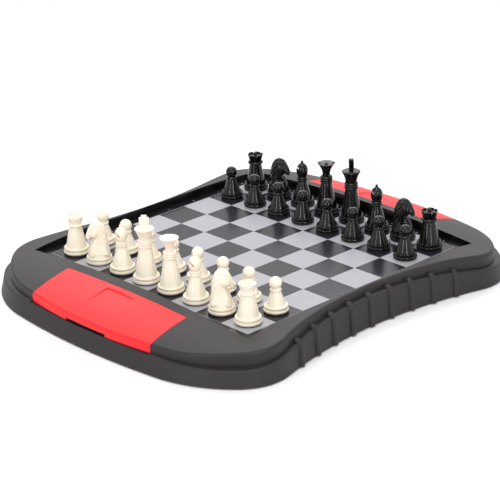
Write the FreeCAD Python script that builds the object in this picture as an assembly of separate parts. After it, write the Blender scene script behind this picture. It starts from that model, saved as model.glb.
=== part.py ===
import FreeCAD
import Part
import math
import os
from collections import namedtuple

Vector = FreeCAD.Vector
Stem = namedtuple("Stem", "base_r neck_r neck_z collar_r collars")
Outline = namedtuple("Outline", "half_length half_waist corner_x corner_y corner_r shoulder_r split")

# All sizes are millimetres. X runs from file a to file h, Y from the white side to the black side,
# and Z up from the table. The origin is under the middle of the board, on the table.

# Playing field
SQUARE = 26.0
SQUARES = 8
BOARD_MARGIN = 9.0
SURFACE_Z = 23.0
PRINT_T = 0.4
STEEL_T = 0.5
SHEET_GAP = 0.3
FLOOR_T = 2.0

# Moulded walls
WALL = 2.2
FOOT_PROUD = 1.0

# Edge of the deck, measured out from the recess that holds the board
RIM_END = 46.1
RIM_SIDE = 2.7
RIM_CORNER_IN_X = 9.6
RIM_CORNER_IN_Y = 8.1
RIM_CORNER_R = 28.9
RIM_SHOULDER_R = 82.2
RIM_SPLIT = 39.4

# Ledge under the deck, measured out from the edge of the deck
LEDGE_END = -4.6
LEDGE_SIDE = 4.5
LEDGE_CORNER_X = -3.3
LEDGE_CORNER_Y = -0.9
LEDGE_CORNER_R = 6.1
LEDGE_SHOULDER_R = -2.2
LEDGE_SPLIT = 46.4
LEDGE_REF_Z = 1.0

# Flare of the lower wall from the ledge to the foot
FLARE_END = 10.0
FLARE_SIDE = 1.5
FLARE_CORNER_Y = 3.9
FLARE_CORNER_R = 2.3
FLARE_SHOULDER_R = 13.4

# Crowned top of the deck and of the ledge, heights above the playing surface
CROWN_R_ACROSS = 1250.0
DECK_CROWN = 10.8
DECK_FLAT = 62.4
DECK_R_ALONG = 416.0
DECK_ROLL_START = 9.0
DECK_R_ROLL = 140.0
DECK_EDGE_R = 2.2
LEDGE_CROWN = 5.0
LEDGE_R_ALONG = 950.0
LEDGE_EDGE_R = 1.5
OVERHANG = 8.0
TOP_FACE_SLOPE = 0.7

# Grip ribs on the long sides
RIB_COUNT = 9
RIB_SPAN = 157.0
RIB_SHIFT = -2.5
RIB_R = 2.5
RIB_PROUD = 2.0
RIB_BEND_R = 4.0
RIB_ABOVE_LEDGE = 1.2

# Storage lids and the wells under them
LID_HALF_W = 63.2
LID_SETBACK = 7.7
LID_T = 2.0
LID_GAP = 0.35
LID_UNDER_GAP = 0.3
SKIRT_DROP = 10.0
NOTCH_W = 41.6
NOTCH_H = 2.0
THUMB_W = 28.0
THUMB_L = 21.0
THUMB_SETBACK = 5.2
THUMB_DEPTH = 0.7
LID_SWING = 100.0
HINGE_IN = 7.0
HINGE_DEPTH = 3.6
BEAD_R = 1.9
PIN_R = 1.0
PIN_L = 3.0
PIN_CLEAR = 0.05
PIN_END_GAP = 0.4
EAR_T = 6.0
SEAT = 4.2

# Bottom cover with its screws and feet
COVER_T = 2.0
COVER_INSET = 0.6
COVER_CLEAR = 0.3
BOSS_R = 4.0
BOSS_IN = 20.0
SCREW_R = 1.45
SCREW_CLEAR = 0.25
THREAD_CLEAR = 0.05
SCREW_L = 12.0
HEAD_R = 2.9
HEAD_H = 1.4
HEAD_CLEAR = 0.15
FOOT_R = 7.0
FOOT_SEAT = 0.8
FOOT_CLEAR = 0.1
FOOT_EDGE_R = 0.4

# Chess figures: foot, cone, collar rings, then the head that tells them apart
FOOT_DISC_H = 2.1
FOOT_GROOVE = 0.5
FOOT_RING_H = 2.0
FOOT_RING_STEP = 0.4
CONE_STEP = 0.6
CONE_SINK = 0.6
COLLAR_PITCH = 1.8
COLLAR_BULGE = 0.6
PAD_T = 0.8
PAD_SEAT = 1.2
PAD_INSET = 0.7
PAD_CLEAR = 0.05
PAWN = Stem(8.8, 3.35, 15.3, 4.1, 1)
ROOK = Stem(9.6, 4.5, 21.4, 6.0, 1)
BISHOP = Stem(9.5, 3.2, 19.4, 4.1, 2)
KNIGHT = Stem(9.7, 7.6, 7.6, 0.0, 0)
QUEEN = Stem(9.8, 4.1, 24.6, 4.8, 3)
KING = Stem(9.9, 4.4, 26.0, 5.2, 3)
PAWN_BALL_R = 4.4
PAWN_NECK_R = 3.2
PAWN_NECK_H = 0.9
CUP_WALL = 0.9
CUP_DISH = 1.4
ROOK_CUP_FOOT_R = 4.6
ROOK_CUP_R = 6.0
ROOK_CUP_H = 5.8
ROOK_CUP_DEPTH = 1.8
ROOK_SLOTS = 6
ROOK_SLOT_W = 1.6
KNOB_R = 1.1
KNOB_H = 1.2
MITRE_FOOT_R = 3.2
MITRE_R = 4.5
MITRE_H = 11.2
MITRE_WIDEST_Z = 5.4
MITRE_SHOULDER_R = 3.1
MITRE_SHOULDER_Z = 9.4
MITRE_CUT_W = 1.1
MITRE_CUT_TILT = 45.0
MITRE_CUT_X = 0.6
MITRE_CUT_Z = 4.6
FINIAL_R = 1.1
FINIAL_NECK_R = 0.8
QUEEN_CUP_FOOT_R = 3.0
QUEEN_CUP_R = 6.8
QUEEN_CUP_H = 10.2
QUEEN_CUP_HOLLOW = 1.3
KING_CUP_FOOT_R = 4.3
KING_CUP_R = 7.1
KING_CUP_H = 8.4
KING_CUP_HOLLOW = 0.6
CROSS_FOOT_R = 2.2
CROSS_FOOT_H = 1.2
CROSS_H = 9.6
CROSS_W = 6.6
CROSS_BAR = 2.9
CROSS_ARM_Z = 4.6
KNIGHT_SIDE = (
    (7.4, 7.0), (6.4, 11.5), (4.9, 15.6), (3.9, 18.8), (5.2, 18.9), (7.0, 17.2), (9.1, 19.6), (8.8, 22.2),
    (7.3, 25.8), (5.6, 29.2), (3.2, 31.7), (0.0, 32.4), (-3.2, 30.7), (-5.4, 26.6), (-6.3, 22.0),
    (-6.7, 17.6), (-7.3, 13.0), (-7.9, 7.0),
)
KNIGHT_FRONT = (
    (7.6, 7.0), (6.2, 10.5), (4.7, 15.0), (4.2, 21.0), (3.7, 26.0), (2.4, 30.5), (0.0, 32.6),
    (-2.4, 30.5), (-3.7, 26.0), (-4.2, 21.0), (-4.7, 15.0), (-6.2, 10.5), (-7.6, 7.0),
)

# Figures of the back ranks from file a to file h
BACK_RANKS = {
    "white": ("rook", "knight", "bishop", "king", "queen", "bishop", "knight", "rook"),
    "black": ("rook", "knight", "bishop", "queen", "king", "bishop", "knight", "rook"),
}

# Way each figure with a front faces, in degrees from +X
TURNS = {
    "white_knight_b": 232.0,
    "white_bishop_c": 227.0,
    "white_king": 47.0,
    "white_bishop_f": 227.0,
    "white_knight_g": 42.0,
    "black_knight_b": 42.0,
    "black_bishop_c": 255.0,
    "black_king": -43.0,
    "black_bishop_f": 227.0,
    "black_knight_g": 42.0,
}

RECESS = SQUARES / 2 * SQUARE + BOARD_MARGIN
FLOOR_Z = SURFACE_Z - PRINT_T - STEEL_T
COVER_Z = FOOT_PROUD + COVER_INSET
COVER_TOP = COVER_Z + COVER_T
LEDGE_TOP_Z = SURFACE_Z + LEDGE_REF_Z
SKIRT_Z = SURFACE_Z - SKIRT_DROP
LID_INNER_Y = RECESS + LID_SETBACK
HINGE_Y = LID_INNER_Y + LID_GAP + HINGE_IN
FAR = 3 * RECESS

# Where the long arc of the deck hands over to the tighter roll at the ends
ROLL_ANGLE = math.asin((RECESS + DECK_ROLL_START - DECK_FLAT) / DECK_R_ALONG)
ROLL_Y = DECK_FLAT + (DECK_R_ALONG - DECK_R_ROLL) * math.sin(ROLL_ANGLE)
ROLL_Z = SURFACE_Z + DECK_CROWN - DECK_R_ALONG + (DECK_R_ALONG - DECK_R_ROLL) * math.cos(ROLL_ANGLE)
ROLL_END_ANGLE = math.asin((RECESS + RIM_END + OVERHANG - ROLL_Y) / DECK_R_ROLL)
HINGE_Z = ROLL_Z + math.sqrt(DECK_R_ROLL ** 2 - (HINGE_Y - ROLL_Y) ** 2) - HINGE_DEPTH

RIM = Outline(
    RECESS + RIM_END,
    RECESS + RIM_SIDE,
    RECESS - RIM_CORNER_IN_X,
    RECESS - RIM_CORNER_IN_Y,
    RIM_CORNER_R,
    RIM_SHOULDER_R,
    RIM_SPLIT,
)
LEDGE = Outline(
    RIM.half_length + LEDGE_END,
    RIM.half_waist + LEDGE_SIDE,
    RIM.corner_x + LEDGE_CORNER_X,
    RIM.corner_y + LEDGE_CORNER_Y,
    RIM.corner_r + LEDGE_CORNER_R,
    RIM.shoulder_r + LEDGE_SHOULDER_R,
    LEDGE_SPLIT,
)
BASE = Outline(
    LEDGE.half_length + FLARE_END,
    LEDGE.half_waist + FLARE_SIDE,
    LEDGE.corner_x,
    LEDGE.corner_y + FLARE_CORNER_Y,
    LEDGE.corner_r + FLARE_CORNER_R,
    LEDGE.shoulder_r + FLARE_SHOULDER_R,
    LEDGE_SPLIT,
)


def box(x0, x1, y0, y1, z0, z1):
    """Box between two corners."""
    return Part.makeBox(x1 - x0, y1 - y0, z1 - z0, Vector(x0, y0, z0))


def mirror_y(shape):
    """The same shape at the other end of the tray."""
    return shape.mirror(Vector(0, 0, 0), Vector(0, 1, 0))


def inset(outline, t):
    """Outline moved inwards by t, with the same arc centres."""
    return outline._replace(
        half_length=outline.half_length - t,
        half_waist=outline.half_waist - t,
        corner_r=outline.corner_r - t,
        shoulder_r=outline.shoulder_r - t,
    )


def waist_radius(o):
    """Radius of the hollow long side that runs into the two corner arcs."""
    step = o.half_waist - o.corner_x
    return (step ** 2 + o.corner_y ** 2 - o.corner_r ** 2) / (2 * (o.corner_r - step))


def outline_wire(o, z):
    """Bowed ends, two-arc corners and hollow long sides, all tangent, at height z."""
    split = math.radians(o.split)
    reach = o.shoulder_r - o.corner_r
    shoulder_x = o.corner_x - reach * math.cos(split)
    shoulder_y = o.corner_y - reach * math.sin(split)
    rise = o.half_length - shoulder_y
    end_r = (shoulder_x ** 2 + rise ** 2 - o.shoulder_r ** 2) / (2 * (rise - o.shoulder_r))
    end_y = o.half_length - end_r
    end_angle = math.atan2(shoulder_y - end_y, shoulder_x)
    waist_x = o.half_waist + waist_radius(o)
    waist_angle = math.atan2(-o.corner_y, waist_x - o.corner_x)

    def on_shoulder(angle):
        return shoulder_x + o.shoulder_r * math.cos(angle), shoulder_y + o.shoulder_r * math.sin(angle)

    def on_corner(angle):
        return o.corner_x + o.corner_r * math.cos(angle), o.corner_y + o.corner_r * math.sin(angle)

    end = on_shoulder(end_angle)
    shoulder_mid = on_shoulder((end_angle + split) / 2)
    corner_start = on_corner(split)
    corner_mid = on_corner((split + waist_angle) / 2)
    waist = on_corner(waist_angle)

    def arc(a, b, c):
        return Part.Arc(*[Vector(p[0], p[1], z) for p in (a, b, c)]).toShape()

    def turned(p, sx, sy):
        return p[0] * sx, p[1] * sy

    edges = []
    for sx, sy in ((1, 1), (-1, 1), (-1, -1), (1, -1)):
        corner = [turned(p, sx, sy) for p in (waist, corner_mid, corner_start, shoulder_mid, end)]
        run = [arc(*corner[:3]), arc(*corner[2:])]
        if sx == sy:
            run.append(arc(corner[4], (0, sy * o.half_length), turned(corner[4], -1, 1)))
        else:
            run = run[::-1] + [arc(corner[0], (sx * o.half_waist, 0), turned(corner[0], 1, -1))]
        edges += run
    return Part.Wire(edges)


def prism(o, z0, z1):
    """Straight wall on an outline."""
    return Part.Face(outline_wire(o, z0)).extrude(Vector(0, 0, z1 - z0))


def crowned_solid(profile, crown_z):
    """Everything under a lengthwise profile that is also crowned across the tray."""
    face = Part.Face(Part.Wire(profile))
    axis = Vector(0, 0, crown_z - CROWN_R_ACROSS)
    half_angle = math.degrees(math.asin((BASE.corner_x + BASE.corner_r + OVERHANG) / CROWN_R_ACROSS))
    face.rotate(axis, Vector(0, 1, 0), -half_angle)
    return face.revolve(axis, Vector(0, 1, 0), 2 * half_angle)


def closed_profile(curves, y_end):
    """Closes a top curve between -y_end and y_end with a floor below the table."""
    first = curves[0].valueAt(curves[0].FirstParameter)
    last = curves[-1].valueAt(curves[-1].LastParameter)
    floor = -SURFACE_Z
    low_first = Vector(0, -y_end, floor)
    low_last = Vector(0, y_end, floor)
    return curves + [
        Part.makeLine(last, low_last),
        Part.makeLine(low_last, low_first),
        Part.makeLine(low_first, first),
    ]


def deck_solid(t):
    """Space under the deck, t below its top: flat middle, long arc, then the roll to each end."""
    crown = SURFACE_Z + DECK_CROWN - t
    long_r = DECK_R_ALONG - t
    roll_r = DECK_R_ROLL - t

    def on_long(angle):
        return Vector(0, DECK_FLAT + long_r * math.sin(angle), crown - long_r + long_r * math.cos(angle))

    def on_roll(angle):
        return Vector(0, ROLL_Y + roll_r * math.sin(angle), ROLL_Z + roll_r * math.cos(angle))

    right = [
        [on_long(0), on_long(ROLL_ANGLE / 2), on_long(ROLL_ANGLE)],
        [on_roll(ROLL_ANGLE), on_roll((ROLL_ANGLE + ROLL_END_ANGLE) / 2), on_roll(ROLL_END_ANGLE)],
    ]
    left = [[Vector(0, -p.y, p.z) for p in run[::-1]] for run in right[::-1]]
    curves = [Part.Arc(*run).toShape() for run in left]
    curves.append(Part.makeLine(left[-1][-1], right[0][0]))
    curves += [Part.Arc(*run).toShape() for run in right]
    return crowned_solid(closed_profile(curves, right[-1][-1].y), crown)


def ledge_z(x, y, t=0.0):
    """Height of the ledge surface, t below its top, at a place in plan."""
    along = LEDGE_R_ALONG - math.sqrt(LEDGE_R_ALONG ** 2 - y ** 2)
    across = CROWN_R_ACROSS - math.sqrt(CROWN_R_ACROSS ** 2 - x ** 2)
    return SURFACE_Z + LEDGE_CROWN - t - along - across


def ledge_solid(t):
    """Space under the ledge surface, t below its top: one long arc from end to end."""
    y_end = BASE.half_length + OVERHANG
    ends = [Vector(0, s * y_end, ledge_z(0, y_end, t)) for s in (-1, 1)]
    top = Vector(0, 0, ledge_z(0, 0, t))
    curves = [Part.Arc(ends[0], top, ends[1]).toShape()]
    return crowned_solid(closed_profile(curves, y_end), top.z)


def border_edges(top_faces):
    """Edges that a crowned top shares with the upright walls."""
    shared = {}
    for face in top_faces:
        for edge in face.Edges:
            shared.setdefault(edge.hashCode(), []).append(edge)
    return [group[0] for group in shared.values() if len(group) == 1]


def tier(walls, top, edge_r):
    """Walls cut to a crowned top, with the border of the top rounded."""
    solid = walls.common(top).Solids[0]
    if edge_r == 0:
        return solid
    tops = [f for f in solid.Faces if f.normalAt(*middle_of(f)).z > TOP_FACE_SLOPE]
    return solid.makeFillet(edge_r, border_edges(tops))


def middle_of(face):
    """Middle of a face's parameter range."""
    u0, u1, v0, v1 = face.ParameterRange
    return (u0 + u1) / 2, (v0 + v1) / 2


def lower_walls(t, z0):
    """Flared wall from the foot to the ledge, moved in by t and carried down to z0."""
    foot = outline_wire(inset(BASE, t), FOOT_PROUD)
    top = outline_wire(inset(LEDGE, t), LEDGE_TOP_Z)
    flare = Part.makeLoft([foot, top], True, True)
    if z0 < FOOT_PROUD:
        flare = flare.fuse(prism(inset(BASE, t), z0, FOOT_PROUD))
    return flare


def deck_tier(t, low, edge_r):
    """Upper tier of the tray under the crowned deck, moved in by t, from height low."""
    return tier(prism(inset(RIM, t), low, SURFACE_Z + DECK_CROWN), deck_solid(t), edge_r)


def body_shell(t, rounded):
    """Outside of the tray, or the same form moved in by t on every side."""
    low = FOOT_PROUD if t == 0 else 0.0
    upper = deck_tier(t, low, DECK_EDGE_R if rounded else 0)
    lower = tier(lower_walls(t, low), ledge_solid(t), LEDGE_EDGE_R if rounded else 0)
    return upper.fuse(lower)


def grip_rib(y):
    """Round rib that climbs the long side at y and bends in over the ledge to the deck wall."""
    radius = waist_radius(BASE)
    centre_x = BASE.half_waist + radius
    foot_x = centre_x - math.sqrt(radius ** 2 - y ** 2)
    out = Vector(centre_x - foot_x, -y, 0).normalize()
    sunk = RIB_PROUD - RIB_R
    rise = (ledge_z(foot_x, y) - FOOT_PROUD) / (LEDGE_TOP_Z - FOOT_PROUD)
    foot = Vector(foot_x, y, 0) + out * sunk
    crest = foot - out * (FLARE_SIDE * rise)
    top_z = ledge_z(foot_x, y) + RIB_ABOVE_LEDGE + sunk
    bend_c = crest - out * RIB_BEND_R
    bend_c.z = top_z - RIB_BEND_R
    side = bend_c + out * RIB_BEND_R
    over = bend_c + Vector(0, 0, RIB_BEND_R)
    slant = math.sqrt(0.5) * RIB_BEND_R
    mid = bend_c + out * slant + Vector(0, 0, slant)
    start = Vector(foot.x, foot.y, FOOT_PROUD)
    inner = over - out * (LEDGE_SIDE + RIB_R)
    path = Part.Wire([
        Part.makeLine(start, side),
        Part.Arc(side, mid, over).toShape(),
        Part.makeLine(over, inner),
    ])
    section = Part.Wire(Part.makeCircle(RIB_R, start, side - start))
    rib = path.makePipeShell([section], True, True)
    return rib.common(box(0, FAR, -FAR, FAR, FOOT_PROUD, FAR))


def grip_ribs():
    """Evenly spaced ribs on both long sides."""
    pitch = RIB_SPAN / (RIB_COUNT - 1)
    right = [grip_rib(RIB_SHIFT - RIB_SPAN / 2 + i * pitch) for i in range(RIB_COUNT)]
    return right + [r.mirror(Vector(0, 0, 0), Vector(1, 0, 0)) for r in right]


def boss_places():
    """Plan places of the cover's screws: the corners and the middles of a square."""
    p = RECESS - BOSS_IN
    return [(x, y) for x in (-p, 0, p) for y in (-p, 0, p) if (x, y) != (0, 0)]


def foot_places():
    """Plan places of the feet: under the middle of each rounded corner."""
    return [(sx * BASE.corner_x, sy * BASE.corner_y) for sx in (-1, 1) for sy in (-1, 1)]


def rod_x(r, x0, x1, y, z):
    """Round rod along X."""
    return Part.makeCylinder(r, x1 - x0, Vector(x0, y, z), Vector(1, 0, 0))


def rear_seat():
    """Shallow step in the deck and the end wall that the rear lid lies in."""
    seat = box(-LID_HALF_W, LID_HALF_W, LID_INNER_Y, FAR, SKIRT_Z - LID_GAP, FAR)
    return seat.cut(body_shell(LID_T + LID_UNDER_GAP, False))


def hinge_swing(outer):
    """Room that the edge of the rear lid swings through under the deck as the lid opens."""
    corners = [(-LID_HALF_W, HINGE_Z), (LID_HALF_W, HINGE_Z), (LID_HALF_W, FAR), (-LID_HALF_W, FAR)]
    points = [Vector(x, LID_INNER_Y, z) for x, z in corners]
    edge = Part.Face(Part.makePolygon(points + points[:1])).common(outer)
    return edge.Faces[0].revolve(Vector(0, HINGE_Y, HINGE_Z), Vector(1, 0, 0), LID_SWING)


def hinge_bar(outer, swing):
    """Thick bar along the rear hinge, for the pin bores and the walls round the swing of the lid."""
    inner_y = swing.BoundBox.YMin - WALL
    low_z = swing.BoundBox.ZMin - WALL
    reach = LID_HALF_W + EAR_T
    ear_y = HINGE_Y + HINGE_IN + 2 * LID_GAP + WALL
    bar = box(-reach, reach, inner_y, LID_INNER_Y, low_z, FAR)
    ear = box(LID_HALF_W - SEAT, reach, inner_y, ear_y, low_z, FAR)
    ears = ear.fuse(ear.mirror(Vector(0, 0, 0), Vector(1, 0, 0)))
    return bar.fuse(ears).common(outer)


def well_plan(t):
    """Upright form of the rear storage well behind the lid's skirt, with its walls moved in by t."""
    side = LID_HALF_W - SEAT + WALL - t
    block = box(-side, side, LID_INNER_Y - WALL + t, FAR, 0, FAR)
    return block.common(prism(inset(RIM, LID_T + LID_UNDER_GAP + t), 0, FAR))


def rear_lid_cuts(swing):
    """Everything cut from the housing for the rear lid: its seat, hinge trough, pin bores and well."""
    trough = rod_x(HINGE_IN + 2 * LID_GAP, -LID_HALF_W, LID_HALF_W, HINGE_Y, HINGE_Z)
    reach = LID_HALF_W + PIN_L + PIN_END_GAP
    bores = rod_x(PIN_R + PIN_CLEAR, -reach, reach, HINGE_Y, HINGE_Z)
    return rear_seat().fuse([swing, trough, bores, well_plan(WALL)])


def upper_housing(outer):
    """Moulded tray: crowned deck, board recess, two storage wells, ledge and grip ribs."""
    inner = body_shell(WALL, False)
    keep = [box(-RECESS - WALL, RECESS + WALL, -RECESS - WALL, RECESS + WALL, FLOOR_Z - FLOOR_T, FAR)]
    well_block = well_plan(0.0).common(box(-FAR, FAR, 0, FAR, COVER_TOP, FAR))
    lid_block = box(-LID_HALF_W - WALL, LID_HALF_W + WALL, LID_INNER_Y - WALL, FAR, SKIRT_Z - WALL, FAR)
    lid_block = lid_block.cut(body_shell(LID_T + LID_UNDER_GAP + WALL, False))
    swing = hinge_swing(outer)
    for block in (well_block, lid_block, hinge_bar(outer, swing)):
        keep += [block, mirror_y(block)]
    for x, y in boss_places():
        keep.append(Part.makeCylinder(BOSS_R, FLOOR_Z - COVER_TOP, Vector(x, y, COVER_TOP)))
    hollow = inner.cut(keep)
    cuts = rear_lid_cuts(swing)
    away = [hollow, cuts, mirror_y(cuts), box(-RECESS, RECESS, -RECESS, RECESS, FLOOR_Z, FAR)]
    for x, y in boss_places():
        away.append(Part.makeCylinder(SCREW_R + THREAD_CLEAR, SCREW_L, Vector(x, y, COVER_Z)))
    return outer.fuse(grip_ribs()).cut(away)


def rear_lid():
    """Thin curved lid with a front skirt, a finger notch, a thumb ramp and a hinge bead with two pins."""
    side = LID_HALF_W - LID_GAP
    tray_end = deck_tier(0.0, FOOT_PROUD, DECK_EDGE_R)
    panel = tray_end.common(box(-side, side, LID_INNER_Y + LID_GAP, FAR, SKIRT_Z, FAR))
    panel = panel.cut(deck_tier(LID_T, 0.0, 0))
    bead = rod_x(BEAD_R, -side, side, HINGE_Y, HINGE_Z).common(tray_end)
    pins = [
        rod_x(PIN_R, side - PIN_L, LID_HALF_W + PIN_L, HINGE_Y, HINGE_Z),
        rod_x(PIN_R, -LID_HALF_W - PIN_L, PIN_L - side, HINGE_Y, HINGE_Z),
    ]
    notch = box(-NOTCH_W / 2, NOTCH_W / 2, RIM.half_length - SKIRT_DROP, FAR, 0, SKIRT_Z + NOTCH_H)
    front_y = LID_INNER_Y + THUMB_SETBACK + THUMB_L
    ramp = deck_solid(0.0)
    tilt = math.degrees(math.atan2(THUMB_DEPTH, THUMB_L))
    front_z = ROLL_Z + math.sqrt(DECK_R_ROLL ** 2 - (front_y - ROLL_Y) ** 2)
    ramp.rotate(Vector(0, front_y, front_z), Vector(1, 0, 0), tilt)
    thumb = box(-THUMB_W / 2, THUMB_W / 2, front_y - THUMB_L, front_y, SURFACE_Z, FAR).cut(ramp)
    return panel.fuse([bead] + pins).cut([notch, thumb])


def base_cover():
    """Flat plate that closes the tray from below, bored for its screws and sunk for its feet."""
    walls = lower_walls(WALL + COVER_CLEAR, 0.0)
    plate = walls.common(box(-FAR, FAR, -FAR, FAR, COVER_Z, COVER_TOP))
    cuts = []
    for x, y in boss_places():
        cuts.append(Part.makeCylinder(SCREW_R + SCREW_CLEAR, COVER_T, Vector(x, y, COVER_Z)))
        cuts.append(Part.makeCylinder(HEAD_R + HEAD_CLEAR, HEAD_H, Vector(x, y, COVER_Z)))
    for x, y in foot_places():
        cuts.append(Part.makeCylinder(FOOT_R + FOOT_CLEAR, FOOT_SEAT, Vector(x, y, COVER_Z)))
    return plate.cut(cuts)


def cover_screws():
    """Pan-headed screws, one in each boss."""
    screws = []
    for x, y in boss_places():
        head = Part.makeCylinder(HEAD_R, HEAD_H, Vector(x, y, COVER_Z))
        shank = Part.makeCylinder(SCREW_R, SCREW_L - HEAD_H, Vector(x, y, COVER_Z))
        screws.append(head.fuse(shank).removeSplitter())
    return Part.Compound(screws)


def rubber_feet():
    """Round feet seated in the cover."""
    feet = []
    for x, y in foot_places():
        foot = Part.makeCylinder(FOOT_R, COVER_Z + FOOT_SEAT, Vector(x, y, 0))
        rim = [e for e in foot.Edges if e.BoundBox.ZMax < FOOT_EDGE_R]
        feet.append(foot.makeFillet(FOOT_EDGE_R, rim))
    return Part.Compound(feet)


def sheet(z0, z1):
    """Square sheet lying in the recess."""
    half = RECESS - SHEET_GAP
    return box(-half, half, -half, half, z0, z1)


def lathe(start, *steps):
    """Turned solid from a half section: a step (r, z) is a line and (r, z, r, z) an arc through a point."""
    here = Vector(start[0], 0, start[1])
    first = here
    edges = []
    for step in steps:
        there = Vector(step[-2], 0, step[-1])
        if len(step) == 2:
            edges.append(Part.makeLine(here, there))
        else:
            edges.append(Part.Arc(here, Vector(step[0], 0, step[1]), there).toShape())
        here = there
    edges.append(Part.makeLine(here, first))
    face = Part.Face(Part.Wire(edges))
    return face.revolve(Vector(0, 0, 0), Vector(0, 0, 1), 360)


def stem_steps(s):
    """Half section of a figure up to the top of its collar rings, and the height reached."""
    disc_top = PAD_T + FOOT_DISC_H
    ring_low = disc_top + FOOT_GROOVE
    ring_top = ring_low + FOOT_RING_H
    groove_r = s.base_r - FOOT_RING_STEP - FOOT_GROOVE
    ring_r = s.base_r - FOOT_RING_STEP
    steps = [
        (s.base_r - FOOT_GROOVE, PAD_T),
        (s.base_r, (PAD_T + disc_top) / 2, s.base_r - FOOT_GROOVE, disc_top),
        (groove_r, disc_top),
        (groove_r, ring_low),
        (ring_r, (ring_low + ring_top) / 2, groove_r, ring_top),
        (groove_r - CONE_STEP, ring_top - CONE_SINK),
        (s.neck_r, s.neck_z),
    ]
    z = s.neck_z
    flank_r = s.collar_r - COLLAR_BULGE
    if s.collars:
        steps.append((flank_r, z))
    for _ in range(s.collars):
        z += COLLAR_PITCH
        steps.append((s.collar_r, z - COLLAR_PITCH / 2, flank_r, z))
    return steps, z


def figure(s, head_steps):
    """Turned figure on a stem, with the pocket for its magnet."""
    steps, z = stem_steps(s)
    body = lathe((0, PAD_T), *steps, *head_steps(z))
    pad_r = s.base_r - PAD_INSET
    pocket = Part.makeCylinder(pad_r + PAD_CLEAR, PAD_T + PAD_SEAT)
    return body.cut(pocket)


def magnet(s):
    """Magnet disc in the foot of a figure, standing a little proud of it."""
    return Part.makeCylinder(s.base_r - PAD_INSET, PAD_T + PAD_SEAT)


def pawn():
    """Cone, one collar and a ball."""

    def head(z):
        neck_z = z + PAWN_NECK_H
        ball_z = neck_z + math.sqrt(PAWN_BALL_R ** 2 - PAWN_NECK_R ** 2)
        return [(PAWN_NECK_R, neck_z), (PAWN_BALL_R, ball_z, 0, ball_z + PAWN_BALL_R)]

    return figure(PAWN, head)


def cup_steps(z, foot_r, rim_r, height, hollow):
    """Half section of a flared cup with hollow flanks and a dished top."""
    rim_z = z + height
    flank = ((foot_r + rim_r) / 2 - hollow, z + height / 2)
    return [(foot_r, z), (*flank, rim_r, rim_z), (rim_r - CUP_WALL, rim_z), (0, rim_z - CUP_DISH)]


def rook():
    """Wide collar and a battlemented cup with a small knob in its middle."""

    def head(z):
        return [(ROOK_CUP_FOOT_R, z), (ROOK_CUP_R, z + ROOK_CUP_H), (0, z + ROOK_CUP_H)]

    body = figure(ROOK, head)
    top = stem_steps(ROOK)[1] + ROOK_CUP_H
    floor = top - ROOK_CUP_DEPTH
    cuts = [Part.makeCylinder(ROOK_CUP_R - CUP_WALL, ROOK_CUP_DEPTH, Vector(0, 0, floor))]
    for i in range(ROOK_SLOTS // 2):
        slot = box(-FAR, FAR, -ROOK_SLOT_W / 2, ROOK_SLOT_W / 2, floor, top)
        slot.rotate(Vector(0, 0, 0), Vector(0, 0, 1), 360 / ROOK_SLOTS * i)
        cuts.append(slot)
    knob = Part.makeCone(KNOB_R, KNOB_R / 2, ROOK_CUP_DEPTH + KNOB_H, Vector(0, 0, floor))
    return body.cut(cuts).fuse(knob)


def bishop():
    """Two collars and an egg-shaped mitre with a slanting cut and a finial."""

    def head(z):
        tip = z + MITRE_H
        ball_z = tip + math.sqrt(FINIAL_R ** 2 - FINIAL_NECK_R ** 2)
        return [
            (MITRE_FOOT_R, z),
            (MITRE_R, z + MITRE_WIDEST_Z, MITRE_SHOULDER_R, z + MITRE_SHOULDER_Z),
            (FINIAL_NECK_R, tip),
            (FINIAL_R, ball_z, 0, ball_z + FINIAL_R),
        ]

    body = figure(BISHOP, head)
    cut_z = stem_steps(BISHOP)[1] + MITRE_CUT_Z
    cut = box(MITRE_CUT_X, FAR, -FAR, FAR, cut_z - MITRE_CUT_W / 2, cut_z + MITRE_CUT_W / 2)
    cut.rotate(Vector(MITRE_CUT_X, 0, cut_z), Vector(0, 1, 0), -MITRE_CUT_TILT)
    return body.cut(cut)


def queen():
    """Three collars and a trumpet-shaped cup with a small ball in its dish."""

    def head(z):
        return cup_steps(z, QUEEN_CUP_FOOT_R, QUEEN_CUP_R, QUEEN_CUP_H, QUEEN_CUP_HOLLOW)

    ball_z = stem_steps(QUEEN)[1] + QUEEN_CUP_H - CUP_DISH + FINIAL_R / 2
    return figure(QUEEN, head).fuse(Part.makeSphere(FINIAL_R, Vector(0, 0, ball_z)))


def king():
    """Three collars and a flared cup that carries a thick cross on a small round foot."""

    def head(z):
        return cup_steps(z, KING_CUP_FOOT_R, KING_CUP_R, KING_CUP_H, KING_CUP_HOLLOW)

    rim_z = stem_steps(KING)[1] + KING_CUP_H
    half = CROSS_BAR / 2
    foot = Part.makeCylinder(CROSS_FOOT_R, 2 * CUP_DISH, Vector(0, 0, rim_z + CROSS_FOOT_H - 2 * CUP_DISH))
    post = box(-half, half, -half, half, rim_z, rim_z + CROSS_H)
    arm_z = rim_z + CROSS_ARM_Z
    arm = box(-CROSS_W / 2, CROSS_W / 2, -half, half, arm_z, arm_z + CROSS_BAR)
    return figure(KING, head).fuse([foot, post, arm])


def spline_face(points):
    """Face inside a smooth curve through points, closed by a straight foot."""
    curve = Part.BSplineCurve()
    curve.interpolate(points)
    return Part.Face(Part.Wire([curve.toShape(), Part.makeLine(points[-1], points[0])]))


def knight():
    """Horse's head: a side outline narrowed by a front outline, on a turned foot."""
    base = figure(KNIGHT, lambda z: [(0, z)])
    side = spline_face([Vector(x, -FAR, z) for x, z in KNIGHT_SIDE])
    front = spline_face([Vector(-FAR, y, z) for y, z in KNIGHT_FRONT])
    head = side.extrude(Vector(0, 2 * FAR, 0)).common(front.extrude(Vector(2 * FAR, 0, 0)))
    return base.fuse(head)


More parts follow.
